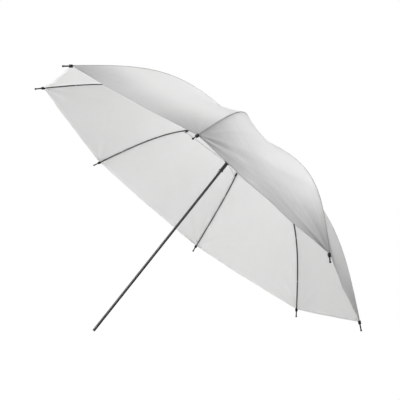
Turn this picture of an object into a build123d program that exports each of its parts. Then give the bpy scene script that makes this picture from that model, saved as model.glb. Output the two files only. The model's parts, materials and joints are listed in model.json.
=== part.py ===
from build123d import *
import os
from math import atan2, cos, degrees, hypot, radians, sin, sqrt

# Eight-rib studio umbrella with a white shoot-through canopy, modelled open.
# Millimetres. The shaft lies on +Z with its lower end at the origin and the canopy's crown at the top.

# ---- driving dimensions ----
RIBS = 8
STEP_ANGLE = 360 / RIBS

# shaft
SHAFT_R = 3.5
SHAFT_WALL = 0.6
TIP_PLANE_Z = 419.0
ROOT_Z = TIP_PLANE_Z + 251.5
SHAFT_TOP_Z = ROOT_Z + 10.5
STOP_GROOVE_Z = 145.0
STOP_GROOVE_WIDTH = 2.0
STOP_GROOVE_DEPTH = 0.25
SLIDING_GAP = 0.08
SEAT_GAP = 0.02
END_PLUG_LENGTH = 14.0
EDGE_BREAK = 0.8

# ribs: a wire that springs from a pivot near the shaft and ends in a straight tip
PIVOT_R = 7.0
RIB_REACH = 545.0
RIB_WIRE_R = 1.7
ROOT_SLOPE = 4.0
TIP_SLOPE = 43.5
ROOT_HANDLE = 280.0
TIP_HANDLE = 240.0
TIP_LENGTH = 22.0
TIP_SOCKET_DEPTH = 5.4

# eyes, the wire rings they turn on, and the slotted rings that hold those
EYE_R = 1.75
EYE_THICKNESS = 1.4
EYE_HOLE_R = 0.52
EYE_NECK = 5.0
RING_WIRE_R = 0.45
SLOT_WIDTH = 2.0
TOOTH_R = 9.2
TOOTH_HALF_HEIGHT = 2.6
TOOTH_CHAMFER = 0.5
HUB_R = 4.7
NOTCH_HUB_DROP = 11.0
NOTCH_PIN_DROP = 8.0
RUNNER_HUB_DROP = 6.0
THROUGH = 4 * SHAFT_R

# stretchers and the clips that join them to the ribs
CLIP_POSITION = 0.436
CLIP_DROP = 6.2
CLIP_HALF_LENGTH = 6.5
CLIP_THICKNESS = 5.0
CLIP_CHEEK_TOP = 0.3
CLIP_WEB = 1.0
CLIP_EAR = 0.6
STRETCHER_WIRE_R = 1.1
RIVET_R = 0.95
RIVET_HOLE_R = 1.0

# canopy
CLOTH_THICKNESS = 0.5
CLOTH_OFFSET = RIB_WIRE_R + 0.35
CROWN_CLOTH_R = 10.5
SEAM_GAP = 0.2
MID_SAG = 14.0
HEM_SAG = 4.0
SAG_FULLNESS = 0.9
CLOTH_ROWS = 14
CLOTH_COLUMNS = 9

# runner
RUNNER_SLEEVE_R = 4.8
RUNNER_FLANGE_R = 6.5
RUNNER_FLANGE_HEIGHT = 2.4
RUNNER_LENGTH = 33.0

# catch that holds the runner up
CATCH_THICKNESS = 1.4
CATCH_LENGTH = 21.0
CATCH_RISE = 3.0
CATCH_GAP = 0.5
CATCH_PIVOT_X = 1.9
CATCH_PIN_R = 0.5
CATCH_FOOT = 1.4
WINDOW_SIDE_GAP = 0.2
WINDOW_BELOW = 4.0
WINDOW_ABOVE = 2.0

# cap over the crown
CAP_FLANGE_R = 11.5
CAP_TOP_Z = ROOT_Z + 21.5
CAP_NOSE_R = 4.6
CAP_NOSE_LENGTH = 8.0
CAP_FLANGE_THICKNESS = 0.8
WASHER_THICKNESS = 0.8
CROWN_GAP = 0.05


# ---- curve of a rib, in its own vertical plane: r outward, z up ----
def direction(slope_deg):
    """Unit vector that runs outward and down at a slope."""
    return Vector(cos(radians(slope_deg)), 0, -sin(radians(slope_deg)))


def normal_of(tangent):
    """Unit vector square to a rib's tangent, on the rib's upper side."""
    return Vector(-tangent.Z, 0, tangent.X)


RIB_ROOT = Vector(PIVOT_R, 0, ROOT_Z)
BALL_CENTRE = Vector(RIB_REACH, 0, TIP_PLANE_Z)
CORNER = BALL_CENTRE - direction(TIP_SLOPE) * TIP_LENGTH
RIB_CURVE = Bezier(
    RIB_ROOT,
    RIB_ROOT + direction(ROOT_SLOPE) * ROOT_HANDLE,
    CORNER - direction(TIP_SLOPE) * TIP_HANDLE,
    CORNER,
)


def rib_frame(share):
    """Point, tangent and upper normal at a share of the rib's curve."""
    tangent = RIB_CURVE.tangent_at(share)
    return RIB_CURVE.position_at(share), tangent, normal_of(tangent)


# the stretcher's two links are equal, so the runner's pivot mirrors the root about the clip's height
CLIP_POINT, CLIP_TANGENT, CLIP_NORMAL = rib_frame(CLIP_POSITION)
JOINT = CLIP_POINT - CLIP_NORMAL * CLIP_DROP
RUNNER_PIVOT_Z = 2 * JOINT.Z - ROOT_Z
RUNNER_PIVOT = Vector(PIVOT_R, 0, RUNNER_PIVOT_Z)
RUNNER_TOP_Z = RUNNER_PIVOT_Z + TOOTH_HALF_HEIGHT
RUNNER_BOTTOM_Z = RUNNER_TOP_Z - RUNNER_LENGTH


# ---- helpers ----
def disc(radius, z_low, z_high):
    """Upright cylinder on the shaft's axis."""
    height = z_high - z_low
    return Pos(0, 0, z_low) * Cylinder(radius, height, align=(Align.CENTER, Align.CENTER, Align.MIN))


def pin_along_y(centre, radius, length):
    """Cylinder that lies along Y, centred on a point."""
    return Pos(centre.X, centre.Y, centre.Z) * Rot(90, 0, 0) * Cylinder(radius, length)


def along(start, tangent):
    """Plane at a point whose own Z runs along a tangent in the XZ plane."""
    return Plane(origin=start, x_dir=(0, 1, 0), z_dir=tangent)


def eye_with_neck(centre, tangent):
    """Flattened end of a wire: a round eye and a neck, both in the XZ plane."""
    eye = pin_along_y(centre, EYE_R, EYE_THICKNESS)
    standing = (Align.CENTER, Align.CENTER, Align.MIN)
    neck_box = Box(EYE_THICKNESS, 2 * STRETCHER_WIRE_R, EYE_NECK + 1, align=standing)
    neck = along(centre, tangent) * neck_box
    return eye + neck


def spoke(shape, number):
    """The same shape at rib number 1 to RIBS."""
    return Rot(0, 0, (number - 1) * STEP_ANGLE) * shape


def write(shape, name):
    export_step(shape, f"parts/{name}.step")


# ---- shaft and what is fixed to it ----
def shaft_tube():
    tube = disc(SHAFT_R, 0, SHAFT_TOP_Z) - disc(SHAFT_R - SHAFT_WALL, 0, SHAFT_TOP_Z)
    groove_low = STOP_GROOVE_Z - STOP_GROOVE_WIDTH / 2
    groove_high = STOP_GROOVE_Z + STOP_GROOVE_WIDTH / 2
    groove = disc(SHAFT_R + 1, groove_low, groove_high)
    groove -= disc(SHAFT_R - STOP_GROOVE_DEPTH, groove_low, groove_high)
    window_height = WINDOW_BELOW + CATCH_LENGTH + WINDOW_ABOVE
    window_width = CATCH_THICKNESS + 2 * WINDOW_SIDE_GAP
    window = Pos(SHAFT_R, 0, CATCH_PIVOT.Z - WINDOW_BELOW) * Box(
        SHAFT_R, window_width, window_height, align=(Align.CENTER, Align.CENTER, Align.MIN)
    )
    catch_pin_hole = pin_along_y(CATCH_PIVOT, CATCH_PIN_R + SEAT_GAP, THROUGH)
    crown_pin_hole = NOTCH_PIN_TURN * pin_along_y(NOTCH_PIN_CENTRE, NOTCH_PIN_R + SEAT_GAP, THROUGH)
    return tube - groove - window - catch_pin_hole - crown_pin_hole


def shaft_end_plug():
    plug_r = SHAFT_R - SHAFT_WALL - SEAT_GAP
    plug = disc(plug_r, 0, END_PLUG_LENGTH)
    return chamfer(plug.edges().group_by(Axis.Z)[-1], EDGE_BREAK)


def slotted_ring(pivot_z, bore_r, hub_low_z):
    """A hub with a toothed ring: a radial slot for each eye, and a round channel for the wire ring."""
    low = pivot_z - TOOTH_HALF_HEIGHT
    high = pivot_z + TOOTH_HALF_HEIGHT
    teeth = disc(TOOTH_R, low, high)
    teeth = chamfer(teeth.edges().filter_by(GeomType.CIRCLE), TOOTH_CHAMFER)
    slot = Box(TOOTH_R, SLOT_WIDTH, 3 * TOOTH_HALF_HEIGHT, align=(Align.MIN, Align.CENTER, Align.CENTER))
    for number in range(1, RIBS + 1):
        teeth -= spoke(Pos(HUB_R, 0, pivot_z) * slot, number)
    teeth -= Pos(0, 0, pivot_z) * Torus(PIVOT_R, RING_WIRE_R + SEAT_GAP)
    hub = disc(HUB_R, hub_low_z, high)
    return teeth + hub - disc(bore_r, hub_low_z - THROUGH, high + THROUGH)


def top_notch():
    ring = slotted_ring(ROOT_Z, SHAFT_R + SEAT_GAP, ROOT_Z - NOTCH_HUB_DROP)
    hole = NOTCH_PIN_TURN * pin_along_y(NOTCH_PIN_CENTRE, NOTCH_PIN_R + SEAT_GAP, THROUGH)
    return ring - hole


def notch_pin():
    pin_stands_proud = 0.2
    return NOTCH_PIN_TURN * pin_along_y(NOTCH_PIN_CENTRE, NOTCH_PIN_R, 2 * HUB_R + 2 * pin_stands_proud)


def wire_ring(pivot_z):
    return Pos(0, 0, pivot_z) * Torus(PIVOT_R, RING_WIRE_R)


def cap_washer():
    outer_r = CROWN_CLOTH_R - 0.4
    bore_r = SHAFT_R + 0.1
    return disc(outer_r, WASHER_Z, WASHER_TOP_Z) - disc(bore_r, WASHER_Z, WASHER_TOP_Z)


def ferrule_cap():
    """Domed cap with a short nose, turned as one piece, with a blind bore for the shaft's end."""
    low = WASHER_TOP_Z + CROWN_GAP
    rim = low + CAP_FLANGE_THICKNESS
    nose_low = CAP_TOP_Z - CAP_NOSE_LENGTH
    nose_high = CAP_TOP_Z - 0.6 * CAP_NOSE_R
    with BuildPart() as cap:
        with BuildSketch(Plane.XZ):
            with BuildLine():
                Line((0, low), (CAP_FLANGE_R, low))
                Line((CAP_FLANGE_R, low), (CAP_FLANGE_R, rim))
                Spline((CAP_FLANGE_R, rim), (CAP_NOSE_R, nose_low), tangents=((-1, 0.35), (-0.1, 1)))
                Line((CAP_NOSE_R, nose_low), (CAP_NOSE_R, nose_high))
                Spline((CAP_NOSE_R, nose_high), (0, CAP_TOP_Z), tangents=((0, 1), (-1, 0)))
                Line((0, CAP_TOP_Z), (0, low))
            make_face()
        revolve(axis=Axis.Z)
    bore = disc(SHAFT_R + SEAT_GAP, low - THROUGH, SHAFT_TOP_Z + SEAT_GAP)
    return cap.part - bore


# ---- catch ----
def runner_catch():
    """Flat wedge in a window of the shaft: its ramp rises from the tube to a step under the runner."""
    low = CATCH_PIVOT.Z
    high = RUNNER_BOTTOM_Z - CATCH_GAP
    outer = SHAFT_R + CATCH_RISE
    foot = low - CATCH_FOOT
    front = CATCH_PIVOT.X + 1.0
    back = CATCH_PIVOT.X - 1.2
    upper_back = CATCH_PIVOT.X - 0.9
    ramp_start = low + 2.0
    step_height = 2.5
    with BuildPart() as wedge:
        with BuildSketch(Plane.XZ):
            with BuildLine():
                Polyline(
                    (back, foot),
                    (front, foot),
                    (SHAFT_R, ramp_start),
                    (outer, high - step_height),
                    (outer, high),
                    (upper_back, high),
                    close=True,
                )
            make_face()
        extrude(amount=CATCH_THICKNESS / 2, both=True)
    return wedge.part - pin_along_y(CATCH_PIVOT, CATCH_PIN_R + CATCH_PIN_GAP, THROUGH)


def catch_pin():
    """Cross pin whose ends stay just inside the tube's round outer face, clear of the runner."""
    farthest = CATCH_PIVOT.X + CATCH_PIN_R
    half_length = sqrt(SHAFT_R**2 - farthest**2) - SEAT_GAP
    return pin_along_y(CATCH_PIVOT, CATCH_PIN_R, 2 * half_length)


# ---- runner ----
def runner_body():
    crown = slotted_ring(RUNNER_PIVOT_Z, SHAFT_R + SLIDING_GAP, RUNNER_PIVOT_Z - RUNNER_HUB_DROP)
    sleeve_top = RUNNER_PIVOT_Z - TOOTH_HALF_HEIGHT
    sleeve = disc(RUNNER_SLEEVE_R, RUNNER_BOTTOM_Z, sleeve_top)
    flange = disc(RUNNER_FLANGE_R, RUNNER_BOTTOM_Z, RUNNER_BOTTOM_Z + RUNNER_FLANGE_HEIGHT)
    flange = fillet(flange.edges().filter_by(GeomType.CIRCLE), EDGE_BREAK)
    body = sleeve + flange
    body -= disc(SHAFT_R + SLIDING_GAP, RUNNER_BOTTOM_Z - THROUGH, sleeve_top + THROUGH)
    return crown + body


# ---- rib, its tip and its clip ----
def rib():
    wire_curve = RIB_CURVE.trim(EYE_NECK / RIB_CURVE.length, 1)
    neck_slope = direction(ROOT_SLOPE)
    end_gap = 0.1
    bend = wire_curve + Line(CORNER, CORNER + direction(TIP_SLOPE) * (TIP_SOCKET_DEPTH - end_gap))
    section = along(bend @ 0, bend % 0) * Circle(RIB_WIRE_R)
    wire = sweep(section, path=bend)
    body = eye_with_neck(RIB_ROOT, neck_slope) + wire
    return body - pin_along_y(RIB_ROOT, EYE_HOLE_R, THROUGH)


def rib_tip():
    """Collar at the cloth's corner with a blind socket for the rib's end, then a thin neck and a ball."""
    collar_r = 3.2
    collar_bevel = 0.5
    collar_taper = 1.5
    neck_r = 1.8
    ball_r = 2.6
    collar_low = 0.6
    collar_high = 6.5
    with BuildPart() as tip:
        with BuildSketch(Plane.XZ):
            with BuildLine():
                Polyline(
                    (0, collar_low),
                    (collar_r - collar_bevel, collar_low),
                    (collar_r, collar_low + collar_bevel),
                    (collar_r, collar_high - collar_taper),
                    (neck_r, collar_high),
                    (neck_r, TIP_LENGTH),
                    (0, TIP_LENGTH),
                    close=True,
                )
            make_face()
        revolve(axis=Axis.Z)
    body = tip.part + Pos(0, 0, TIP_LENGTH) * Sphere(ball_r)
    body -= disc(RIB_WIRE_R + SEAT_GAP, 0, TIP_SOCKET_DEPTH)
    return along(CORNER, direction(TIP_SLOPE)) * body


def rib_clip():
    """Folded saddle: it grips the rib from below and carries the stretcher's rivet between two cheeks."""
    under_rib = -RIB_WIRE_R - CLIP_WEB
    ear_r = EYE_R + CLIP_EAR
    groove_gap = 0.05
    with BuildPart() as saddle:
        with BuildSketch(Plane.XZ):
            with BuildLine():
                Polyline(
                    (-CLIP_HALF_LENGTH, CLIP_CHEEK_TOP),
                    (-CLIP_HALF_LENGTH, under_rib),
                    (-ear_r, -CLIP_DROP),
                    (ear_r, -CLIP_DROP),
                    (CLIP_HALF_LENGTH, under_rib),
                    (CLIP_HALF_LENGTH, CLIP_CHEEK_TOP),
                    close=True,
                )
            make_face()
        extrude(amount=CLIP_THICKNESS / 2, both=True)
    eye_centre = Vector(0, 0, -CLIP_DROP)
    body = saddle.part + pin_along_y(eye_centre, ear_r, CLIP_THICKNESS)
    groove_width = 2 * (RIB_WIRE_R + groove_gap)
    groove_height = CLIP_CHEEK_TOP + RIB_WIRE_R + groove_gap
    hanging = (Align.CENTER, Align.CENTER, Align.MAX)
    groove = Pos(0, 0, CLIP_CHEEK_TOP) * Box(3 * CLIP_HALF_LENGTH, groove_width, groove_height, align=hanging)
    slot = Pos(0, 0, under_rib) * Box(3 * CLIP_HALF_LENGTH, SLOT_WIDTH, 3 * CLIP_DROP, align=hanging)
    body = body - groove - slot - pin_along_y(eye_centre, RIVET_HOLE_R, THROUGH)
    slope = degrees(atan2(-CLIP_TANGENT.Z, CLIP_TANGENT.X))
    return Pos(CLIP_POINT.X, 0, CLIP_POINT.Z) * Rot(0, slope, 0) * body


def rivet():
    head_r = 1.7
    head_height = 0.6
    head_gap = 0.02
    shank = pin_along_y(JOINT, RIVET_R, CLIP_THICKNESS + head_height)
    heads = Part()
    for side in (-1, 1):
        centre = JOINT + Vector(0, side * (CLIP_THICKNESS / 2 + head_gap + head_height / 2), 0)
        heads += pin_along_y(centre, head_r, head_height)
    return shank + heads


def stretcher():
    span = RUNNER_PIVOT - JOINT
    length = hypot(span.X, span.Z)
    to_runner = span.normalized()
    inner_neck = eye_with_neck(RUNNER_PIVOT, to_runner * -1)
    outer_neck = eye_with_neck(JOINT, to_runner)
    wire_low = JOINT + to_runner * EYE_NECK
    wire = along(wire_low, to_runner) * Cylinder(
        STRETCHER_WIRE_R, length - 2 * EYE_NECK, align=(Align.CENTER, Align.CENTER, Align.MIN)
    )
    body = inner_neck + outer_neck + wire
    body -= pin_along_y(RUNNER_PIVOT, EYE_HOLE_R, THROUGH)
    return body - pin_along_y(JOINT, RIVET_HOLE_R, THROUGH)


# ---- canopy: one gore between each two ribs ----
def sag_at(share):
    """How far the middle of a gore hangs in, at a share of the way from crown to hem."""
    belly = (4 * share * (1 - share)) ** SAG_FULLNESS
    return MID_SAG * belly + HEM_SAG * share


def gore():
    """Cloth from rib 1 to rib 2, taut on the ribs and hanging in between them."""
    first_share = (CROWN_CLOTH_R - PIVOT_R) / RIB_CURVE.length
    rows = []
    for row in range(CLOTH_ROWS + 1):
        share = first_share + (1 - first_share) * row / CLOTH_ROWS
        centre, tangent, normal = rib_frame(share)
        edge = centre + normal * CLOTH_OFFSET
        near = Vector(edge.X, 0, edge.Z) + Vector(0, SEAM_GAP, 0)
        far = (Vector(edge.X, 0, edge.Z) - Vector(0, SEAM_GAP, 0)).rotate(Axis.Z, STEP_ANGLE)
        inward = (normal * -1).rotate(Axis.Z, STEP_ANGLE / 2)
        points = []
        for column in range(CLOTH_COLUMNS + 1):
            across = column / CLOTH_COLUMNS
            drop = sag_at(row / CLOTH_ROWS) * 4 * across * (1 - across)
            points.append(near * (1 - across) + far * across + inward * drop)
        rows.append(points)
    sheet = Face.make_surface_from_array_of_points(rows, tol=0.05, min_deg=3, max_deg=5)
    return Solid.thicken(sheet, CLOTH_THICKNESS, normal_override=(0, 0, 1))


# ---- places that several pieces share ----
NOTCH_PIN_R = 0.6
NOTCH_PIN_CENTRE = Vector(0, 0, ROOT_Z - NOTCH_PIN_DROP)
NOTCH_PIN_TURN = Rot(0, 0, STEP_ANGLE / 2)
WASHER_Z = ROOT_Z + TOOTH_HALF_HEIGHT + CROWN_GAP
WASHER_TOP_Z = WASHER_Z + WASHER_THICKNESS
CATCH_PIN_GAP = 0.05
CATCH_PIVOT = Vector(CATCH_PIVOT_X, 0, RUNNER_BOTTOM_Z - CATCH_GAP - CATCH_LENGTH)


def main():
    os.makedirs("parts", exist_ok=True)
    write(shaft_tube(), "shaft")
    write(shaft_end_plug(), "shaft_end_plug")
    write(top_notch(), "top_notch")
    write(notch_pin(), "notch_pin")
    write(wire_ring(ROOT_Z), "notch_wire")
    write(cap_washer(), "cap_washer")
    write(ferrule_cap(), "ferrule_cap")
    write(runner_catch(), "runner_catch")
    write(catch_pin(), "catch_pin")
    write(runner_body(), "runner_body")
    write(wire_ring(RUNNER_PIVOT_Z), "runner_wire")
    per_rib = {
        "rib": rib(),
        "rib_tip": rib_tip(),
        "rib_clip": rib_clip(),
        "clip_rivet": rivet(),
        "stretcher": stretcher(),
        "gore": gore(),
    }
    for name, shape in per_rib.items():
        for number in range(1, RIBS + 1):
            write(spoke(shape, number), f"{name}_{number}")


main()
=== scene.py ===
# White shoot-through studio umbrella: cloth, finishes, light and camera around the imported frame. Metres.
import json
import math

import bpy
import numpy as np
from mathutils import Matrix, Vector

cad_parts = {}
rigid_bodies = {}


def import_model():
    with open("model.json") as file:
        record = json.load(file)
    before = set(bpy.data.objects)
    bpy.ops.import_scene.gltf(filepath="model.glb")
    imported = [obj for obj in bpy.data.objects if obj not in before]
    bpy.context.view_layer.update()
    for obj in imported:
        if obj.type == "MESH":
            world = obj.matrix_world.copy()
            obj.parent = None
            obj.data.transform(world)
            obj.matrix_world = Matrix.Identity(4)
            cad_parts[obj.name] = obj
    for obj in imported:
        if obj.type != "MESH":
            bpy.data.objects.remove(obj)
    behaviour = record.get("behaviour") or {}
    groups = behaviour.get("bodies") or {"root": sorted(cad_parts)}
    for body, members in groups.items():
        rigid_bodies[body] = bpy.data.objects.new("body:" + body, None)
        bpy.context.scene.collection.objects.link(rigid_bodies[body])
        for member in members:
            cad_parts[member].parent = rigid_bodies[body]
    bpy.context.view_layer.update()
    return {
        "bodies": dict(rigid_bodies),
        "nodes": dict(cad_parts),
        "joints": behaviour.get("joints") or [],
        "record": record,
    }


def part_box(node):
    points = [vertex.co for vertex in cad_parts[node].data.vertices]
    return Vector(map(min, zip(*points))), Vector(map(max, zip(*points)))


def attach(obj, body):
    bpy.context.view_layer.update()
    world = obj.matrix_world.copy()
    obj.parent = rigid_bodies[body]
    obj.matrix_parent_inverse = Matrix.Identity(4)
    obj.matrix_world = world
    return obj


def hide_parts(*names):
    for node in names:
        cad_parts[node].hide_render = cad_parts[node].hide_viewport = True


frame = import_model()
JOINTS = {j["name"]: j for j in frame["joints"]}
MM = 0.001

# ---- driving values: ribs and tips ----
RIBS = 8
STEP = 2 * math.pi / RIBS
ROOT_SLOPE = math.radians(4.0)
TIP_SLOPE = math.radians(43.5)
ROOT_HANDLE = 280 * MM
TIP_HANDLE = 240 * MM
TIP_LENGTH = 22 * MM
BALL_R = 2.6 * MM
RIB_R = 1.7 * MM
CURVE_POINTS = 1201
SLOPE_REACH = 0.1 * MM

# ---- driving values: cloth ----
# CLOTH_OFFSET is from the rib's centre line. Near the crown the cloth lifts to clear the notch.
CLOTH_OFFSET = RIB_R + 0.4 * MM
CROWN_R = 10.6 * MM
CROWN_LIFT = 1.4 * MM
CROWN_LIFT_REACH = 16 * MM
MID_SAG = 14 * MM
HEM_SAG = 4 * MM
SAG_FULLNESS = 0.9
HEM_DEPTH = 8 * MM
LAYER_GAP = 0.45 * MM

ROOT = Vector(JOINTS["rib_1_fold"]["pos_m"])
FOLD_LIMIT = math.radians(JOINTS["rib_1_fold"]["range_deg"][1])
TIP_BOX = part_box("rib_tip_1")
BALL = Vector((TIP_BOX[1].x - BALL_R, 0, TIP_BOX[0].z + BALL_R))


# ---- the rib's curve, as radius and height ----
def downhill(slope):
    return np.array([math.cos(slope), -math.sin(slope)])


def rib_curve():
    """A rib from its pivot to its tip: arc lengths, and the radius and height at each of them."""
    start = np.array([ROOT.x, ROOT.z])
    end = np.array([BALL.x, BALL.z]) - downhill(TIP_SLOPE) * TIP_LENGTH
    root_handle = start + downhill(ROOT_SLOPE) * ROOT_HANDLE
    tip_handle = end - downhill(TIP_SLOPE) * TIP_HANDLE
    t = np.linspace(0, 1, CURVE_POINTS)[:, None]
    u = 1 - t
    points = u**3 * start + 3 * u**2 * t * root_handle + 3 * u * t**2 * tip_handle + t**3 * end
    arc = np.r_[0, np.cumsum(np.linalg.norm(np.diff(points, axis=0), axis=1))]
    return arc, points[:, 0], points[:, 1]


RIB_ARC, RIB_RADIUS, RIB_HEIGHT = rib_curve()
RIB_LENGTH = RIB_ARC[-1]
HEM_SHARE = HEM_DEPTH / RIB_LENGTH


def rib_at(arc):
    """Radius, height and downward slope of a rib at an arc length from its pivot. Arrays work too."""
    radius = np.interp(arc, RIB_ARC, RIB_RADIUS)
    height = np.interp(arc, RIB_ARC, RIB_HEIGHT)
    ahead = np.minimum(arc + SLOPE_REACH, RIB_LENGTH)
    behind = np.maximum(arc - SLOPE_REACH, 0)
    run = np.interp(ahead, RIB_ARC, RIB_RADIUS) - np.interp(behind, RIB_ARC, RIB_RADIUS)
    fall = np.interp(behind, RIB_ARC, RIB_HEIGHT) - np.interp(ahead, RIB_ARC, RIB_HEIGHT)
    return radius, height, np.arctan2(fall, run)


def arc_of(share):
    """Arc length along the rib at a share of the way from the crown's rim to the hem."""
    rim = (CROWN_R - ROOT.x) / RIB_LENGTH
    return (rim + (1 - rim) * share) * RIB_LENGTH


def gore_width(share):
    return 2 * rib_at(arc_of(share))[0] * math.sin(STEP / 2)


def smoothstep(x):
    x = np.clip(x, 0, 1)
    return x * x * (3 - 2 * x)


def bulge(across):
    """0 at both ribs and 1 half-way between them."""
    return 4 * across * (1 - across)


# ---- the canopy's surface ----
# Fans and finer streaks run out of each tip corner. RAYS is how many of them would fill a full turn, PARTS is
# the share of SIZE that each takes, and REACH is the distance over which they fade.
TINY = 0.001 * MM
CREASE_SEED = 40
PHASES = (0, 6.28)
RAY_COUNT = 7
FAN_RAYS = (5, 17)
FAN_PARTS = (0.3, 1.0)
FAN_SIZE = 0.475 * MM
FAN_REACH = 100 * MM
STREAK_RAYS = (18, 60)
STREAK_PARTS = (0.2, 1.0)
STREAK_SIZE = 0.136 * MM
STREAK_REACH = 340 * MM
STREAK_START = 90 * MM
CORNER_CLEAR = 20 * MM
RIB_CLEAR = 12 * MM
# Puckers follow the seams. PITCH is a pucker's length, divided by 2 pi.
PUCKER_SIZE = 0.14 * MM
PUCKER_PITCH = 5.2 * MM
PUCKER_REACH = 11 * MM
PUCKER_START = 3 * MM
PUCKER_DRIFT = 31
PUCKER_SWING = 2
# Long soft waves cross a gore from rib to rib.
WAVE_COUNT = 5
WAVES_ACROSS = (1.5, 6)
WAVE_DRIFT = (-4, 4)
WAVE_SIZE = (0.15 * MM, 0.5 * MM)
WAVE_EDGE = 1.5


def sag_at(share):
    return MID_SAG * bulge(share) ** SAG_FULLNESS + HEM_SAG * share


def corner_rays(rng, angle, reach, rays, parts, size, fade):
    """Folds that fan out from a tip corner and fade with the distance from it."""
    total = np.zeros_like(angle)
    for _ in range(RAY_COUNT):
        count, phase, part = rng.uniform(*rays), rng.uniform(*PHASES), rng.uniform(*parts)
        total += size * part * np.sin(count * angle + phase)
    return total * np.exp(-reach / fade)


def creases(share, across, gore):
    """Small standing folds: rays from each tip corner, puckers along the seams and long soft waves."""
    rng = np.random.default_rng(CREASE_SEED + gore)
    total = np.zeros_like(across)
    width = gore_width(share)
    down = (1 - share) * RIB_LENGTH
    for side in (0, 1):
        from_rib = np.abs(across - side) * width
        reach = np.hypot(down, from_rib)
        angle = np.arctan2(from_rib, down + TINY)
        fan = corner_rays(rng, angle, reach, FAN_RAYS, FAN_PARTS, FAN_SIZE, FAN_REACH)
        streaks = corner_rays(rng, angle, reach, STREAK_RAYS, STREAK_PARTS, STREAK_SIZE, STREAK_REACH)
        clear = smoothstep(from_rib / RIB_CLEAR) * smoothstep(reach / CORNER_CLEAR)
        total += (fan + streaks * smoothstep(reach / STREAK_START)) * clear
        phase = rng.uniform(*PHASES)
        drift = PUCKER_SWING * np.sin(share * PUCKER_DRIFT)
        pucker = np.sin(share * RIB_LENGTH / PUCKER_PITCH + phase + drift)
        beside_seam = np.exp(-from_rib / PUCKER_REACH) * smoothstep(from_rib / PUCKER_START)
        total += PUCKER_SIZE * pucker * beside_seam
    for _ in range(WAVE_COUNT):
        phase, waves = rng.uniform(*PHASES), rng.uniform(*WAVES_ACROSS)
        drift, size = rng.uniform(*WAVE_DRIFT), rng.uniform(*WAVE_SIZE)
        wave = np.sin(waves * math.pi * across + phase + drift * share)
        total += size * wave * np.sin(math.pi * across) ** WAVE_EDGE * share
    return total


def cloth_point(gore, share, across, inset=0.0):
    """Points of gore 0..7 at a share of the way from crown to hem and a share across. x, y, z come last."""
    radius, height, slope = rib_at(arc_of(share))
    near_rim = 1 - smoothstep((radius - CROWN_R) / CROWN_LIFT_REACH)
    edge_r = radius + np.sin(slope) * CLOTH_OFFSET
    edge_z = height + np.cos(slope) * CLOTH_OFFSET + CROWN_LIFT * near_rim
    near, far, middle = gore * STEP, (gore + 1) * STEP, (gore + 0.5) * STEP
    x = edge_r * ((1 - across) * math.cos(near) + across * math.cos(far))
    y = edge_r * ((1 - across) * math.sin(near) + across * math.sin(far))
    hang = inset + sag_at(share) * bulge(across) - creases(share, across, gore)
    x = x - np.sin(slope) * math.cos(middle) * hang
    y = y - np.sin(slope) * math.sin(middle) * hang
    z = edge_z - np.cos(slope) * hang
    return np.stack([x, y, z], axis=-1)


# ---- node helpers ----
def feed(tree, target, inputs):
    """Set a node's inputs, by name or number, to plain values or to other nodes' outputs."""
    for key, value in inputs.items():
        if isinstance(value, bpy.types.NodeSocket):
            tree.links.new(value, target.inputs[key])
        else:
            target.inputs[key].default_value = value


def node(tree, kind, inputs=None, **settings):
    """A new node, with its settings made before its inputs are fed."""
    made = tree.nodes.new(kind)
    for key, value in settings.items():
        setattr(made, key, value)
    feed(tree, made, inputs or {})
    return made


def span(tree, value, given, wanted):
    """A value carried smoothly from the given range to the wanted one."""
    limits = {"From Min": given[0], "From Max": given[1], "To Min": wanted[0], "To Max": wanted[1]}
    made = node(tree, "ShaderNodeMapRange", {"Value": value, **limits}, interpolation_type="SMOOTHSTEP")
    return made.outputs["Result"]


# ---- how the cloth goes along when the ribs fold ----
# At the full fold the gores lie round the closed ribs as layers, one WRAP_GAP apart, with uneven slack.
WRAP_GAP = 3.6 * MM
WRAP_SLACK = 5 * MM
WRAP_START = 0.6
SPREAD_ROUNDS = 8
SLACK_LOBES = 3
SLACK_TWIST = 14
CREST_ROUND = 5 * MM
CREST_SOFT = 0.02
EDGE_ROUND = 4 * MM
LIFT_OFF = 0.07
CLOSED_POINTS = 400


def lean_at(share):
    """Angle between a rib and the middle of its gore, in the plane of the cloth."""
    return np.arcsin(np.cos(rib_at(arc_of(share))[2]) * math.sin(STEP / 2))


def wrap_spread(share, radius):
    """Angle that a gore's cloth would span round the closed ribs, never less than from rib to rib."""
    cloth = gore_width(share) * np.cos(lean_at(share))
    spread = np.full_like(share, STEP)
    for _ in range(SPREAD_ROUNDS):
        layers = (spread + STEP) / 2 / STEP
        spread = np.maximum(cloth / (radius + WRAP_GAP * layers / 2), STEP)
    return spread


def closed_rib():
    """A rib's cloth edge at the full fold, from hem to crown: height, radius, share, spread and layer gap."""
    share = np.linspace(1, 0, CLOSED_POINTS)
    edge = cloth_point(0, share, np.zeros_like(share))
    out, up = edge[:, 0] - ROOT.x, edge[:, 2] - ROOT.z
    c, s = math.cos(FOLD_LIMIT), math.sin(FOLD_LIMIT)
    radius = ROOT.x + c * out + s * up
    height = ROOT.z - s * out + c * up
    spread = wrap_spread(share, radius)
    gap = WRAP_GAP * smoothstep((spread - STEP) / 2 / WRAP_START)
    return {"height": height, "radius": radius, "share": share, "spread": spread, "gap": gap}


CLOSED = closed_rib()


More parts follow.
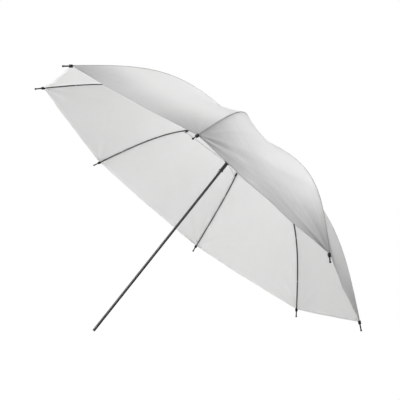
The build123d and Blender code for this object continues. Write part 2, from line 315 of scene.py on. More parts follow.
def folded_point(gore, share, across):
    """Cloth at the full fold: every gore is a flap, creased once and wound round the closed ribs."""
    width = gore_width(share)
    spread = np.interp(share, CLOSED["share"][::-1], CLOSED["spread"][::-1])
    crest = (spread + STEP) / 2 / spread
    start, here, end = (np.hypot(a - crest, CREST_SOFT) for a in (0, across, 1))
    turn = spread * (start - here) + (STEP - spread * (start - end)) * across
    rise = np.hypot(0.5, CREST_SOFT) - np.hypot(across - 0.5, CREST_SOFT)
    height = np.interp(share, CLOSED["share"][::-1], CLOSED["height"][::-1])
    height = height + width * np.sin(lean_at(share)) * rise
    # Layers count outwards from the ribs: over is for the way out to the crease, under for the way back.
    over = turn / STEP
    under = over - 1 + 0.5 * smoothstep((over - 1) / LIFT_OFF)
    past_crest = smoothstep(0.5 + (across - crest) * width / CREST_ROUND / 2)
    at_rib = smoothstep(1 - (1 - across) * width / EDGE_ROUND)
    layer = over + (under - over) * np.maximum(past_crest, at_rib)
    angle = gore * STEP + turn
    gap = np.interp(height, CLOSED["height"], CLOSED["gap"])
    lobes = (1 + np.sin(SLACK_LOBES * angle + SLACK_TWIST * height)) / 2
    slack = WRAP_SLACK * lobes * gap / WRAP_GAP * smoothstep(layer / 2)
    radius = np.interp(height, CLOSED["height"], CLOSED["radius"]) + gap * layer + slack
    return np.stack([radius * np.cos(angle), radius * np.sin(angle), height], axis=-1)


def rib_fold(number):
    """Turn and shift of rib 0..8 at the full fold."""
    a = number * STEP
    turn = Matrix.Rotation(FOLD_LIMIT, 3, Vector((-math.sin(a), math.cos(a), 0)))
    root = Vector((ROOT.x * math.cos(a), ROOT.x * math.sin(a), ROOT.z))
    return np.array(turn), np.array(root - turn @ root)


def fold_lift(gore, share, across):
    """What cloth at rest is given, so that going along with its two ribs takes it to its folded place."""
    near_turn, near_shift = rib_fold(gore)
    far_turn, far_shift = rib_fold(gore + 1)
    far = across[:, None]
    turn = (1 - far[..., None]) * near_turn + far[..., None] * far_turn
    shift = (1 - far) * near_shift + far * far_shift
    target = folded_point(gore, share, across) - shift
    return np.linalg.solve(turn, target[..., None])[..., 0] - cloth_point(gore, share, across)


def make_fold_group():
    """Node group: cloth points follow the rib on their near side and, by their share across, the next rib."""
    group = bpy.data.node_groups.new("cloth_between_ribs", "GeometryNodeTree")
    group.interface.new_socket("Geometry", in_out="INPUT", socket_type="NodeSocketGeometry")
    group.interface.new_socket("Next rib", in_out="INPUT", socket_type="NodeSocketObject")
    group.interface.new_socket("First rib", in_out="INPUT", socket_type="NodeSocketObject")
    group.interface.new_socket("Geometry", in_out="OUTPUT", socket_type="NodeSocketGeometry")

    def stored(name, kind):
        made = node(group, "GeometryNodeInputNamedAttribute", {"Name": name}, data_type=kind)
        return made.outputs["Attribute"]

    def rib_info(rib, space):
        return node(group, "GeometryNodeObjectInfo", {"Object": rib}, transform_space=space).outputs

    given = node(group, "NodeGroupInput").outputs
    rotation = rib_info(given["First rib"], "ORIGINAL")["Rotation"]
    turn = node(group, "FunctionNodeRotationToAxisAngle", {"Rotation": rotation}).outputs["Angle"]
    folded = span(group, turn, (0, FOLD_LIMIT), (0, 1))
    scaling = {"Vector": stored("fold_lift", "FLOAT_VECTOR"), "Scale": folded}
    lift = node(group, "ShaderNodeVectorMath", scaling, operation="SCALE").outputs["Vector"]
    position = node(group, "GeometryNodeInputPosition").outputs["Position"]
    near = node(group, "ShaderNodeVectorMath", {0: position, 1: lift}, operation="ADD").outputs["Vector"]
    carrying = {"Vector": near, "Transform": rib_info(given["Next rib"], "RELATIVE")["Transform"]}
    far = node(group, "FunctionNodeTransformPoint", carrying).outputs["Vector"]
    mixing = {"Factor": stored("across", "FLOAT"), "A": near, "B": far}
    between = node(group, "ShaderNodeMix", mixing, data_type="VECTOR").outputs["Result"]
    placed = node(group, "GeometryNodeSetPosition", {"Geometry": given["Geometry"], "Position": between})
    node(group, "NodeGroupOutput", {"Geometry": placed.outputs["Geometry"]})
    return group


FOLD_GROUP = make_fold_group()


def follow_cloth(obj, gore, share, across):
    """A piece sewn into gore 0..7 rides the gore's first rib and bends towards the next one."""
    mesh = obj.data
    float_attribute(mesh, "across", across)
    lift = mesh.attributes.new("fold_lift", "FLOAT_VECTOR", "POINT")
    lift.data.foreach_set("vector", fold_lift(gore, share, across).astype(np.float32).ravel())
    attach(obj, f"rib_{gore + 1}")
    bend = obj.modifiers.new("between_ribs", "NODES")
    bend.node_group = FOLD_GROUP
    sockets = {s.name: s.identifier for s in FOLD_GROUP.interface.items_tree if s.in_out == "INPUT"}
    bend[sockets["Next rib"]] = frame["bodies"][f"rib_{(gore + 1) % RIBS + 1}"]
    bend[sockets["First rib"]] = frame["bodies"]["rib_1"]


# ---- mesh helpers ----
# Rings of a stitch: the place along it, and the share of the thread's radius.
STITCH_GAP = 0.14
STITCH_RINGS = ((0.0, 0.45), (0.14, 1.0), (0.86, 1.0), (1.0, 0.45))
STITCH_SIDES = 6
STITCH_FLATNESS = 1.25
STITCH_R = 0.16 * MM
STITCH_FACING = (0.5, 0.85)
COIL_SIDES = 8
COIL_STEPS = 20
COIL_END = 0.4


def add_object(name, data):
    obj = bpy.data.objects.new(name, data)
    bpy.context.scene.collection.objects.link(obj)
    return obj


def new_object(name, vertices, faces, material, smooth=True):
    mesh = bpy.data.meshes.new(name)
    mesh.from_pydata([tuple(map(float, v)) for v in vertices], [], faces)
    mesh.update()
    mesh.polygons.foreach_set("use_smooth", [smooth] * len(mesh.polygons))
    mesh.materials.append(material)
    return add_object(name, mesh)


def grid_faces(rows, columns):
    """Faces of a sheet whose points come row by row."""
    corners = [i * columns + j for i in range(rows - 1) for j in range(columns - 1)]
    return [(a, a + columns, a + columns + 1, a + 1) for a in corners]


def tube_faces(rings, sides, start=0):
    """Faces of a tube whose points come ring by ring, with a cap at each end."""
    faces = []
    for base in range(start, start + (rings - 1) * sides, sides):
        for j in range(sides):
            a, b = base + j, base + (j + 1) % sides
            faces.append((a, b, b + sides, a + sides))
    last = start + (rings - 1) * sides
    return faces + [tuple(reversed(range(start, start + sides))), tuple(range(last, last + sides))]


def float_attribute(mesh, name, values):
    mesh.attributes.new(name, "FLOAT", "POINT").data.foreach_set("value", values.astype(np.float32).ravel())


def set_uv(mesh, uvs):
    """One UV layer in metres, so that the weave is real size."""
    layer = mesh.uv_layers.new(name="cloth")
    loops = np.zeros(len(mesh.loops), int)
    mesh.loops.foreach_get("vertex_index", loops)
    layer.data.foreach_set("uv", uvs[loops].astype(np.float32).ravel())


def sheet(name, gore, share, across, inset, material):
    """A strip of cloth that lies on a gore: share, across and inset are grids of rows and columns."""
    points = cloth_point(gore, share, across, inset)
    obj = new_object(name, points.reshape(-1, 3), grid_faces(*share.shape), material)
    width = gore_width(share)
    set_uv(obj.data, np.stack([(across - 0.5) * width, share * RIB_LENGTH], axis=-1).reshape(-1, 2))
    gap = np.minimum(across, 1 - across) * width
    float_attribute(obj.data, "rib_gap", gap)
    float_attribute(obj.data, "down", share)
    float_attribute(obj.data, "to_corner", np.hypot(gap, (1 - share) * RIB_LENGTH))
    follow_cloth(obj, gore, share.ravel(), across.ravel())
    return obj


def stitch_run(name, gore, share, across, proud):
    """Thread stitches on a gore, one small rounded bar between each two given points of a line."""
    line = cloth_point(gore, share, across, -proud)
    gap = (line[1:] - line[:-1]) * STITCH_GAP
    start, end = line[:-1] + gap, line[1:] - gap
    along = (end - start) / np.linalg.norm(end - start, axis=1, keepdims=True)
    middle = (gore + 0.5) * STEP
    out, up = STITCH_FACING
    side = np.cross(along, np.array([math.cos(middle) * out, math.sin(middle) * out, up]))
    side /= np.linalg.norm(side, axis=1, keepdims=True)
    top = np.cross(side, along)
    vertices, faces = [], []
    for k in range(len(start)):
        faces += tube_faces(len(STITCH_RINGS), STITCH_SIDES, start=len(vertices))
        for step, size in STITCH_RINGS:
            centre = start[k] * (1 - step) + end[k] * step
            for a in np.arange(STITCH_SIDES) * 2 * math.pi / STITCH_SIDES:
                ray = side[k] * math.cos(a) * STITCH_FLATNESS + top[k] * math.sin(a)
                vertices.append(centre + ray * STITCH_R * size)
    obj = new_object(name, vertices, faces, THREAD)
    step = STITCH_GAP + (1 - 2 * STITCH_GAP) * np.repeat([place for place, _ in STITCH_RINGS], STITCH_SIDES)
    own_share = share[:-1, None] + (share[1:] - share[:-1])[:, None] * step
    own_across = across[:-1, None] + (across[1:] - across[:-1])[:, None] * step
    follow_cloth(obj, gore, own_share.ravel(), own_across.ravel())


def coil(name, number, arc, radius, thread, turns, pitch, material, slot, beyond=0.0):
    """Thread wound round rib 1 to 8 in a tight helix, at an arc length or beyond it along the tangent."""
    centre, axis, out = rib_frame_at(number, arc)
    centre = centre + axis * beyond
    third = np.cross(axis, out)
    steps = COIL_STEPS * turns
    angle = np.linspace(0, 2 * math.pi * turns, steps + 1)
    height = (angle / (2 * math.pi) - turns / 2) * pitch
    radial = out * np.cos(angle)[:, None] + third * np.sin(angle)[:, None]
    path = centre + radial * radius + axis * height[:, None]
    vertices = []
    for k in range(steps + 1):
        size = thread * (COIL_END if k in (0, steps) else 1.0)
        for a in np.arange(COIL_SIDES) * 2 * math.pi / COIL_SIDES:
            vertices.append(path[k] + (radial[k] * math.cos(a) + axis * math.sin(a)) * size)
    obj = new_object(name, vertices, tube_faces(steps + 1, COIL_SIDES), material)
    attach(obj, f"rib_{number}")


# ---- texture helpers ----
EVEN = (1, 1, 1)
LONG = (1, 1, 0.02)
LONGISH = (1, 1, 0.25)


def material(name):
    mat = bpy.data.materials.new(name)
    mat.use_nodes = True
    return mat, mat.node_tree, mat.node_tree.nodes["Principled BSDF"]


def mapped(tree, source, scale=EVEN):
    """Texture coordinates of one kind, scaled."""
    coords = node(tree, "ShaderNodeTexCoord").outputs[source]
    return node(tree, "ShaderNodeMapping", {"Vector": coords, "Scale": scale}).outputs["Vector"]


def noise(tree, vector, scale, detail=4.0, roughness=0.55):
    inputs = {"Vector": vector, "Scale": scale, "Detail": detail, "Roughness": roughness}
    return node(tree, "ShaderNodeTexNoise", inputs).outputs["Fac"]


def bands(tree, vector, scale, direction):
    inputs = {"Vector": vector, "Scale": scale}
    made = node(tree, "ShaderNodeTexWave", inputs, wave_type="BANDS", bands_direction=direction)
    return made.outputs["Fac"]


def ramp(tree, value, low, high, low_at=0.3, high_at=0.7):
    """A value turned into a tone between low and high, which are greys or colours."""
    made = node(tree, "ShaderNodeValToRGB", {"Fac": value})
    for stop, place, tone in zip(made.color_ramp.elements, (low_at, high_at), (low, high)):
        stop.position = place
        stop.color = (*tone, 1) if isinstance(tone, tuple) else (tone, tone, tone, 1)
    return made.outputs["Color"]


def attribute(tree, name):
    made = node(tree, "ShaderNodeAttribute", attribute_name=name, attribute_type="GEOMETRY")
    return made.outputs["Fac"]


def bump(tree, shader, height, distance, strength, under=None):
    inputs = {"Height": height, "Distance": distance, "Strength": strength}
    if under is not None:
        inputs["Normal"] = under
    normal = node(tree, "ShaderNodeBump", inputs).outputs["Normal"]
    feed(tree, shader, {"Normal": normal})
    return normal


def maths(tree, operation, a, b):
    return node(tree, "ShaderNodeMath", {0: a, 1: b}, operation=operation).outputs[0]


def mix_colours(tree, factor, first, second, how="MIX"):
    return node(tree, "ShaderNodeMixRGB", {0: factor, 1: first, 2: second}, blend_type=how).outputs[0]


def darkened(tree, colour, factor):
    """A colour multiplied by a grey factor."""
    return mix_colours(tree, 1.0, colour, factor, how="MULTIPLY")


def mix_shaders(tree, factor, first, second):
    return node(tree, "ShaderNodeMixShader", {0: factor, 1: first, 2: second}).outputs[0]


def set_surface(tree, shader_output):
    feed(tree, tree.nodes["Material Output"], {"Surface": shader_output})


# ---- cloth and thread ----
# Blender's wave texture repeats after WAVE_PERIOD at scale 1. FADE is where a mark starts and ends.
WAVE_PERIOD = 0.314
WEAVE_PITCH = 0.45 * MM
WARP_STREAKS = (260, 9, 1)
# Painted shadow of the ribs on the cloth's outer side: its reach from the rib, where it fades along the gore,
# the tone left under it, and its strength near the hem.
RIB_SHADOW_LINE = (1.2 * MM, 3.0 * MM)
RIB_SHADOW_LINE_FADE = (0.5, 0.9)
RIB_SHADOW_TONE = 0.15
RIB_SHADOW_NEAR_HEM = 0.3
# Painted shade on the cloth's outer side towards each tip corner: its darkest tone, where it fades, and how
# far its streaks reach.
CORNER_PAINTED_SHADE = 0.76
CORNER_SHADE_FADE = (20 * MM, 190 * MM)
CORNER_SHADE_STREAKS = 50 * MM
# Painted shade on the cloth's outer side towards the hem: its darkest tone and where it fades in.
HEM_PAINTED_SHADE = 0.72
HEM_SHADE_FADE = (0.68, 1.0)
PASS_THROUGH = 0.42
LAYERED_PASS = 0.75
CLOTH_WHITE = (0.93, 0.93, 0.922)
# Painted light: where the cloth lies doubled, at the hem, the seam allowances and the patches, the same nylon
# is given a whiter tone, which lifts the shade between the layers.
LAYERED_PAINTED_LIGHT_WHITE = (0.98, 0.98, 0.972)


def outer_only(tree, factor):
    """The painted shade's grey factor on the cloth's outer side, and 1 on its inner side, which is its back.
    """
    inner = node(tree, "ShaderNodeNewGeometry").outputs["Backfacing"]
    return maths(tree, "MAXIMUM", factor, inner)


def painted_rib_shadow(tree):
    """Painted shadow: a darker line on the outer side over each rib, where the dark rib under the thin cloth
    pressed on it would shade it, less so near the hem.
    """
    near = span(tree, attribute(tree, "rib_gap"), RIB_SHADOW_LINE, (1.0, 0.0))
    upper = span(tree, attribute(tree, "down"), RIB_SHADOW_LINE_FADE, (1.0, RIB_SHADOW_NEAR_HEM))
    shown = maths(tree, "MULTIPLY", near, upper)
    return maths(tree, "SUBTRACT", 1.0, maths(tree, "MULTIPLY", shown, 1 - RIB_SHADOW_TONE))


def painted_corner_shade(tree, streaks):
    """Painted shade: the cloth's outer side greys towards each tip, in streaks."""
    uneven = maths(tree, "MULTIPLY", streaks, CORNER_SHADE_STREAKS)
    reach = maths(tree, "ADD", attribute(tree, "to_corner"), uneven)
    return span(tree, reach, CORNER_SHADE_FADE, (CORNER_PAINTED_SHADE, 1.0))


def painted_hem_shade(tree):
    """Painted shade: the outer side greys a little towards the hem."""
    return span(tree, attribute(tree, "down"), HEM_SHADE_FADE, (1.0, HEM_PAINTED_SHADE))


def cloth_material(name, colour, pass_through, paints_shade=True):
    """Thin white nylon: plain weave bump, warp streaks, a little sheen, and light passing through it."""
    mat, tree, shader = material(name)
    uv = mapped(tree, "UV")
    warp, weft = (bands(tree, uv, WAVE_PERIOD / WEAVE_PITCH, direction) for direction in "XY")
    weave = maths(tree, "MAXIMUM", warp, weft)
    streaks = noise(tree, mapped(tree, "UV", WARP_STREAKS), scale=1.0, detail=3)
    cloud = noise(tree, uv, scale=14, detail=5)
    shade = ramp(tree, streaks, low=tuple(c * 0.985 for c in colour), high=colour)
    shade = darkened(tree, shade, ramp(tree, cloud, low=0.985, high=1.0))
    if paints_shade:
        # Painted shade on the outer side: greyer towards the tips, over the ribs and towards the hem.
        outer_painted_shade = maths(tree, "MULTIPLY", painted_corner_shade(tree, streaks), painted_rib_shadow(tree))
        outer_painted_shade = maths(tree, "MULTIPLY", outer_painted_shade, painted_hem_shade(tree))
        shade = darkened(tree, shade, outer_only(tree, outer_painted_shade))
    finish = {"Sheen Weight": 0.5, "Sheen Roughness": 0.45, "Specular IOR Level": 0.35}
    finish["Roughness"] = ramp(tree, cloud, low=0.5, high=0.62)
    feed(tree, shader, {"Base Color": shade, **finish})
    normal = bump(tree, shader, weave, distance=0.03 * MM, strength=0.5)
    bump(tree, shader, cloud, distance=0.4 * MM, strength=0.35, under=normal)
    glow = node(tree, "ShaderNodeBsdfTranslucent", {"Color": shade}).outputs[0]
    set_surface(tree, mix_shaders(tree, pass_through, shader.outputs[0], glow))
    return mat


def thread_material(name, low, high):
    """Twisted polyester thread, between two grey tones."""
    mat, tree, shader = material(name)
    ply = bands(tree, mapped(tree, "Object"), scale=900, direction="DIAGONAL")
    base = ramp(tree, ply, low, high)
    feed(tree, shader, {"Base Color": base, "Roughness": 0.6, "Sheen Weight": 0.3 * high})
    bump(tree, shader, ply, distance=0.05 * MM, strength=0.6)
    return mat


CLOTH = cloth_material("white_nylon", CLOTH_WHITE, PASS_THROUGH)
# Doubled cloth takes the whiter tone of painted light. The hem's outer side also takes the painted shade, and
# the inner layers don't.
CLOTH_HEM = cloth_material("white_nylon_hem", LAYERED_PAINTED_LIGHT_WHITE, LAYERED_PASS)
CLOTH_DOUBLE = cloth_material("white_nylon_double", LAYERED_PAINTED_LIGHT_WHITE, LAYERED_PASS, paints_shade=False)
THREAD = thread_material("white_thread", 0.66, 0.84)
CORD = thread_material("black_cord", 0.004, 0.014)


# ---- metal, plastic and felt ----
def metal_material(name, colour, roughness, grain, worn=None, metallic=1.0):
    """Drawn or rolled metal: fine grain along the part, patches of different polish, and worn high spots."""
    mat, tree, shader = material(name)
    fine = noise(tree, mapped(tree, "Object", grain), scale=900, detail=6, roughness=0.7)
    patch = noise(tree, mapped(tree, "Object"), scale=55, detail=4)
    base = ramp(tree, patch, low=tuple(c * 0.8 for c in colour), high=tuple(min(1, c * 1.15) for c in colour))
    if worn:
        spots = noise(tree, mapped(tree, "Object"), scale=420, detail=8, roughness=0.75)
        spots = ramp(tree, spots, low=0.0, high=1.0, low_at=0.66, high_at=0.78)
        base = mix_colours(tree, spots, base, (*worn, 1))
    shine = ramp(tree, fine, low=roughness * 0.75, high=roughness * 1.3)
    feed(tree, shader, {"Base Color": base, "Metallic": metallic, "Roughness": shine})
    bump(tree, shader, fine, distance=0.02 * MM, strength=0.2)
    return mat


def plastic_material(name, colour, roughness):
    """Gloss moulded plastic with a faint orange-peel surface, light scuffs and a clear top gloss."""
    mat, tree, shader = material(name)
    fine = noise(tree, mapped(tree, "Object"), scale=700, detail=3)
    scuff = noise(tree, mapped(tree, "Object", LONGISH), scale=1500, detail=8, roughness=0.8)
    scuffed = tuple(c * 2.2 + 0.01 for c in colour)
    base = ramp(tree, scuff, low=colour, high=scuffed, low_at=0.5, high_at=0.85)
    shine = ramp(tree, scuff, low=roughness, high=roughness * 2.2, low_at=0.45, high_at=0.8)
    feed(tree, shader, {"Base Color": base, "Roughness": shine, "Coat Weight": 0.35, "Coat Roughness": 0.12})
    bump(tree, shader, fine, distance=0.03 * MM, strength=0.35)
    return mat


def felt_material(name):
    mat, tree, shader = material(name)
    fibre = noise(tree, mapped(tree, "Object"), scale=2600, detail=8, roughness=0.8)
    feed(tree, shader, {"Base Color": ramp(tree, fibre, low=0.62, high=0.86), "Roughness": 0.95})
    bump(tree, shader, fibre, distance=0.3 * MM, strength=0.8)
    return mat


FINISHES = {
    "shaft_metal": metal_material(
        "dark_tube", (0.09, 0.09, 0.093), 0.42, LONG, worn=(0.15, 0.15, 0.154), metallic=0.7
    ),
    "black_plastic": plastic_material("black_moulding", (0.010, 0.010, 0.011), 0.16),
    "cap_black": plastic_material("black_cap", (0.012, 0.012, 0.013), 0.2),
    "tip_black": plastic_material("black_tip", (0.008, 0.008, 0.008), 0.22),
    "bright_steel": metal_material("bright_steel", (0.74, 0.74, 0.75), 0.18, EVEN),
    "catch_steel": metal_material("spring_steel", (0.6, 0.6, 0.61), 0.25, LONG),
    "clip_steel": metal_material("pressed_steel", (0.10, 0.10, 0.10), 0.3, EVEN, worn=(0.35, 0.35, 0.35)),
    "rib_steel": metal_material("dark_rib_wire", (0.085, 0.082, 0.066), 0.34, EVEN, worn=(0.24, 0.235, 0.2)),
    "stretcher_steel": metal_material("stretcher_wire", (0.7, 0.7, 0.7), 0.28, EVEN),
    "white_pad": felt_material("felt_washer"),
}


def finish_cad_nodes():
    """Every hard CAD node gets the finish of its material slot. The gores are replaced below."""
    for part in frame["record"]["subparts"]:
        if part["material_slot"] in FINISHES:
            materials = frame["nodes"][part["node"]].data.materials
            materials.clear()
            materials.append(FINISHES[part["material_slot"]])


# ---- canopy: one gore between each two ribs, and what is sewn to it ----
ROWS = 150
ROW_CROWDING = 0.06
COLUMNS = 61
COLUMN_CROWDING = 0.55
# Rows of the turned hem: the share of the hem's depth, and the share of LAYER_GAP that the cloth lies in.
HEM_FOLD = ((0.0, 0.35), (0.1, 0.9), (0.4, 1.0), (0.7, 1.0), (0.9, 1.0), (1.0, 0.3))
HEM_PINCH = 0.25
HEM_TUCK = 5 * MM
ALLOWANCE_WIDTH = 6.5 * MM
ALLOWANCE_START = RIB_R + 0.4 * MM
ALLOWANCE_TOP = 0.03
ALLOWANCE_ROWS, ALLOWANCE_COLUMNS = 120, 5
ALLOWANCE_DEPTH = 0.75 * LAYER_GAP
ALLOWANCE_EDGE = 0.4
CROWN_PATCH_REACH = 17 * MM
CROWN_PATCH_BULGE = 0.045
CROWN_PATCH_ROWS, CROWN_PATCH_COLUMNS = 10, 17
CROWN_PATCH_DEPTH = 0.6 * LAYER_GAP
CROWN_PATCH_EDGE = 0.25
CORNER_PATCH_REACH = 26 * MM
CORNER_PATCH_START = 0.4 * MM
CORNER_PATCH_END = 0.15
CORNER_PATCH_ROWS, CORNER_PATCH_COLUMNS = 12, 10
CORNER_PATCH_DEPTH = 1.4 * LAYER_GAP


def crowded(count, crowding):
    """Places from 0 to 1, closer together towards both ends."""
    even = np.linspace(0, 1, count)
    return even - crowding * np.sin(2 * math.pi * even) / (2 * math.pi)


def grid(rows, columns):
    return np.meshgrid(rows, columns, indexing="ij")


def canopy_gore(gore):
    """The panel between two ribs, with its hem turned in."""
    open_rows = crowded(ROWS, ROW_CROWDING)
    turned_rows = [1 - part * HEM_SHARE for part, _ in HEM_FOLD]
    depths = np.array([0.0] * ROWS + [depth * LAYER_GAP for _, depth in HEM_FOLD])
    share, across = grid(np.r_[open_rows, turned_rows], crowded(COLUMNS, COLUMN_CROWDING))
    from_rib = np.minimum(across, 1 - across) * gore_width(share)
    inset = depths[:, None] * (HEM_PINCH + (1 - HEM_PINCH) * smoothstep(from_rib / HEM_TUCK))
    obj = sheet(f"canopy_gore_{gore + 1}", gore, share, across, inset, CLOTH)
    obj.data.materials.append(CLOTH_HEM)
    obj.data.materials.append(CLOTH_DOUBLE)
    row = np.arange(len(obj.data.polygons)) // (COLUMNS - 1)
    hem_start = np.searchsorted(open_rows, 1 - HEM_SHARE)
    layer = np.int32(row >= hem_start) + np.int32(row >= ROWS - 1)
    obj.data.polygons.foreach_set("material_index", layer)
    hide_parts(f"gore_{gore + 1}")


def seam_allowance(gore):
    """The raw edge of the seam, lying flat on the inner side just beside the rib."""
    shares = np.linspace(ALLOWANCE_TOP, 1 - HEM_SHARE, ALLOWANCE_ROWS)
    share, part = grid(shares, np.linspace(0, 1, ALLOWANCE_COLUMNS))
    across = (ALLOWANCE_START + part * (ALLOWANCE_WIDTH - ALLOWANCE_START)) / gore_width(share)
    inset = np.full_like(share, ALLOWANCE_DEPTH)
    inset[:, 0] *= ALLOWANCE_EDGE
    sheet(f"seam_allowance_{gore + 1}", gore, share, across, inset, CLOTH_DOUBLE)


def crown_ring(radius, across):
    """Shares of a round line about the crown, drawn across a gore."""
    return radius / RIB_LENGTH * (1 + CROWN_PATCH_BULGE * bulge(across))


def crown_patch(gore):
    """A round patch that doubles the cloth round the crown, one sector on each gore."""
    rows = np.linspace(0, CROWN_PATCH_REACH, CROWN_PATCH_ROWS)
    radius, across = grid(rows, np.linspace(0, 1, CROWN_PATCH_COLUMNS))
    inset = np.full_like(radius, -CROWN_PATCH_DEPTH)
    inset[-1] *= CROWN_PATCH_EDGE
    sheet(f"crown_patch_{gore + 1}", gore, crown_ring(radius, across), across, inset, CLOTH_DOUBLE)


def corner_patch(gore, side):
    """A small doubled triangle inside each corner of a gore, where the tip pulls."""
    down, part = grid(np.linspace(0, 1, CORNER_PATCH_ROWS), np.linspace(0, 1, CORNER_PATCH_COLUMNS))
    share = 1 - HEM_SHARE * CORNER_PATCH_END - (1 - down) * CORNER_PATCH_REACH / RIB_LENGTH
    across = (CORNER_PATCH_START + part * down * CORNER_PATCH_REACH) / gore_width(share)
    if side:
        across = 1 - across[:, ::-1]
    inset = np.full_like(share, CORNER_PATCH_DEPTH)
    sheet(f"corner_patch_{gore + 1}_{'ab'[side]}", gore, share, across, inset, CLOTH_DOUBLE)


STITCH_PITCH = 3.2 * MM
STITCH_PROUD = 0.02 * MM
SEAM_STITCHES = (0.045, 0.985)
SEAM_STITCH_GAP = 4.6 * MM
HEM_STITCHES = (0.02, 0.98)
HEM_STITCH_PLACE = 0.78
CROWN_STITCHES = (0.04, 0.96)
CROWN_STITCH_POINTS = 8
CROWN_STITCH_GAP = 2 * MM


def stitch_points(first, last, length):
    """Shares of a line of the given length, about one stitch pitch apart."""
    return np.linspace(first, last, int(length * (last - first) / STITCH_PITCH))


def gore_stitching(gore):
    """Rows of stitches: along both seams, along the hem, and round the crown patch."""
    share = stitch_points(*SEAM_STITCHES, RIB_LENGTH)
    near = SEAM_STITCH_GAP / gore_width(share)
    stitch_run(f"seam_stitches_{gore + 1}_a", gore, share, near, STITCH_PROUD)
    stitch_run(f"seam_stitches_{gore + 1}_b", gore, share, 1 - near, STITCH_PROUD)
    across = stitch_points(*HEM_STITCHES, gore_width(1.0))
    hem = np.full_like(across, 1 - HEM_STITCH_PLACE * HEM_SHARE)
    stitch_run(f"hem_stitches_{gore + 1}", gore, hem, across, STITCH_PROUD)
    across = np.linspace(*CROWN_STITCHES, CROWN_STITCH_POINTS)
    ring = crown_ring(CROWN_PATCH_REACH - CROWN_STITCH_GAP, across)
    stitch_run(f"crown_stitches_{gore + 1}", gore, ring, across, CROWN_PATCH_DEPTH)


RIB_TIES = {"a": 0.2, "b": 0.62, "c": 0.85}
TIE_R = 0.22 * MM
TIE_CLEAR = 0.2 * MM
TIE_TURNS = 4
TIE_PITCH = 0.4 * MM
COLLAR_R = 3.2 * MM
CORD_R = 0.34 * MM
CORD_PITCH = 1.9 * CORD_R
WHIPPING_PLACE = 0.9 * MM
WHIPPING_TURNS = 13


def rib_frame_at(number, arc):
    """Point on a rib's centre line, its tangent and its upper normal, for rib 1 to 8."""
    radius, height, slope = (float(v) for v in rib_at(arc))
    a = (number - 1) * STEP
    out = np.array([math.cos(a), math.sin(a), 0])
    up = np.array([0, 0, 1])
    tangent = out * math.cos(slope) - up * math.sin(slope)
    normal = out * math.sin(slope) + up * math.cos(slope)
    return out * radius + up * height, tangent, normal


def rib_ties(number):
    """Thread wound round the rib through the seam, and black cord round the tip's collar."""
    for letter, place in RIB_TIES.items():
        name, arc = f"rib_tie_{number}_{letter}", RIB_LENGTH * place
        coil(name, number, arc, RIB_R + TIE_CLEAR, TIE_R, TIE_TURNS, TIE_PITCH, THREAD, "canopy_cloth")
    name, radius = f"corner_tie_{number}", COLLAR_R + CORD_R
    whipping = (radius, CORD_R, WHIPPING_TURNS, CORD_PITCH, CORD, "tip_black")
    coil(name, number, RIB_LENGTH, *whipping, beyond=WHIPPING_PLACE)


# ---- stage: floor, light and camera ----
# The camera was fitted to the photo's view together with the dome.
CAMERA_AZIMUTH = math.radians(-170.65)
CAMERA_ELEVATION = math.radians(-12.53)
CAMERA_ROLL = math.radians(-38.52)
CAMERA_DISTANCE = 2.6746
CAMERA_TARGET = Vector((-0.0056, 0.0043, 0.442))
CAMERA_LENS = 90.62
CAMERA_SENSOR = 36
CAMERA_FAR = 60
FLOOR_Z = -0.62
FLOOR_HALF = 30
FLOOR_TONE = 0.9
FLOOR_GLOW = 1.0
SKY_FILL = 0.02
LIGHT_CENTRE = Vector((0, 0, 0.55))
LIGHT_DISTANCE = 3.0
LIGHT_SIZE = 1.8
# Each softbox: how far right of, above and in front of the camera's view it sits, and its power in watts.
SOFTBOXES = {
    "behind_right": (1, 1, -1, 84),
    "front_left": (-1, 1, 1, 68),
    "overhead": (0, 1, 0, 26),
    "low_left": (-1, -1, 1, 26),
}


def camera_axes():
    """The camera's right, up and back directions."""
    level = math.cos(CAMERA_ELEVATION)
    back = (math.sin(CAMERA_AZIMUTH) * level, -math.cos(CAMERA_AZIMUTH) * level, math.sin(CAMERA_ELEVATION))
    back = Vector(back)
    level_up = (Vector((0, 0, 1)) - back * back.z).normalized()
    level_right = level_up.cross(back)
    up = level_up * math.cos(CAMERA_ROLL) + level_right * math.sin(CAMERA_ROLL)
    return up.cross(back), up, back


def make_camera():
    right, up, back = camera_axes()
    data = bpy.data.cameras.new("camera")
    data.lens = CAMERA_LENS
    data.sensor_width = CAMERA_SENSOR
    data.clip_end = CAMERA_FAR
    camera = add_object("camera", data)
    place = Matrix((right, up, back)).transposed().to_4x4()
    place.translation = CAMERA_TARGET + back * CAMERA_DISTANCE
    camera.matrix_world = place
    bpy.context.scene.camera = camera


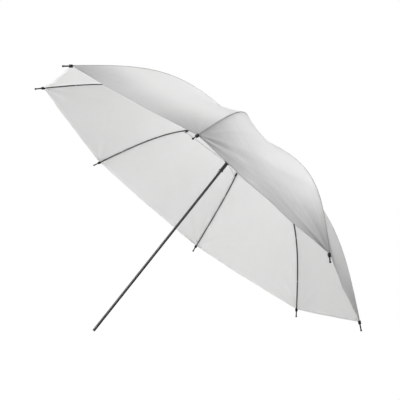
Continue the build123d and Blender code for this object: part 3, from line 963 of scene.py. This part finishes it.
def make_lights():
    """Soft discs around the dome, hidden from the camera and aimed at its middle."""
    right, up, back = camera_axes()
    for name, (across, above, front, power) in SOFTBOXES.items():
        data = bpy.data.lights.new(name, "AREA")
        data.shape = "DISK"
        data.size = LIGHT_SIZE
        data.energy = power
        lamp = add_object(name, data)
        aim = (right * across + up * above + back * front).normalized()
        lamp.location = LIGHT_CENTRE + aim * LIGHT_DISTANCE
        lamp.rotation_mode = "QUATERNION"
        lamp.rotation_quaternion = (-aim).to_track_quat("-Z", "Y")
        lamp.visible_camera = False


def camera_ray(tree):
    return node(tree, "ShaderNodeLightPath").outputs["Is Camera Ray"]


def make_world():
    """White to the camera, and a faint even fill to everything else."""
    world = bpy.data.worlds.new("studio")
    bpy.context.scene.world = world
    world.use_nodes = True
    tree = world.node_tree
    strength = span(tree, camera_ray(tree), (0, 1), (SKY_FILL, 1.0))
    feed(tree, tree.nodes["Background"], {"Color": (1, 1, 1, 1), "Strength": strength})


def make_floor():
    """Pale from above. The camera sees through it from below, so that the underside can be looked at."""
    mat, tree, shader = material("pale_floor")
    feed(tree, shader, {"Base Color": (FLOOR_TONE, FLOOR_TONE, FLOOR_TONE, 1), "Roughness": FLOOR_TONE})
    pale = shader.outputs[0]
    glow = node(tree, "ShaderNodeEmission", {"Strength": FLOOR_GLOW}).outputs[0]
    bright = node(tree, "ShaderNodeAddShader", {0: pale, 1: glow}).outputs[0]
    clear = node(tree, "ShaderNodeBsdfTransparent").outputs[0]
    below = node(tree, "ShaderNodeNewGeometry").outputs["Backfacing"]
    seen = mix_shaders(tree, below, bright, clear)
    set_surface(tree, mix_shaders(tree, camera_ray(tree), pale, seen))
    corners = [(x * FLOOR_HALF, y * FLOOR_HALF, FLOOR_Z) for x, y in ((-1, -1), (1, -1), (1, 1), (-1, 1))]
    new_object("floor", corners, [(0, 1, 2, 3)], mat, smooth=False)


def main():
    bpy.context.scene.view_settings.view_transform = "Standard"
    finish_cad_nodes()
    for gore in range(RIBS):
        canopy_gore(gore)
        seam_allowance(gore)
        crown_patch(gore)
        corner_patch(gore, 0)
        corner_patch(gore, 1)
        gore_stitching(gore)
        rib_ties(gore + 1)
    make_world()
    make_floor()
    make_lights()
    make_camera()


main()
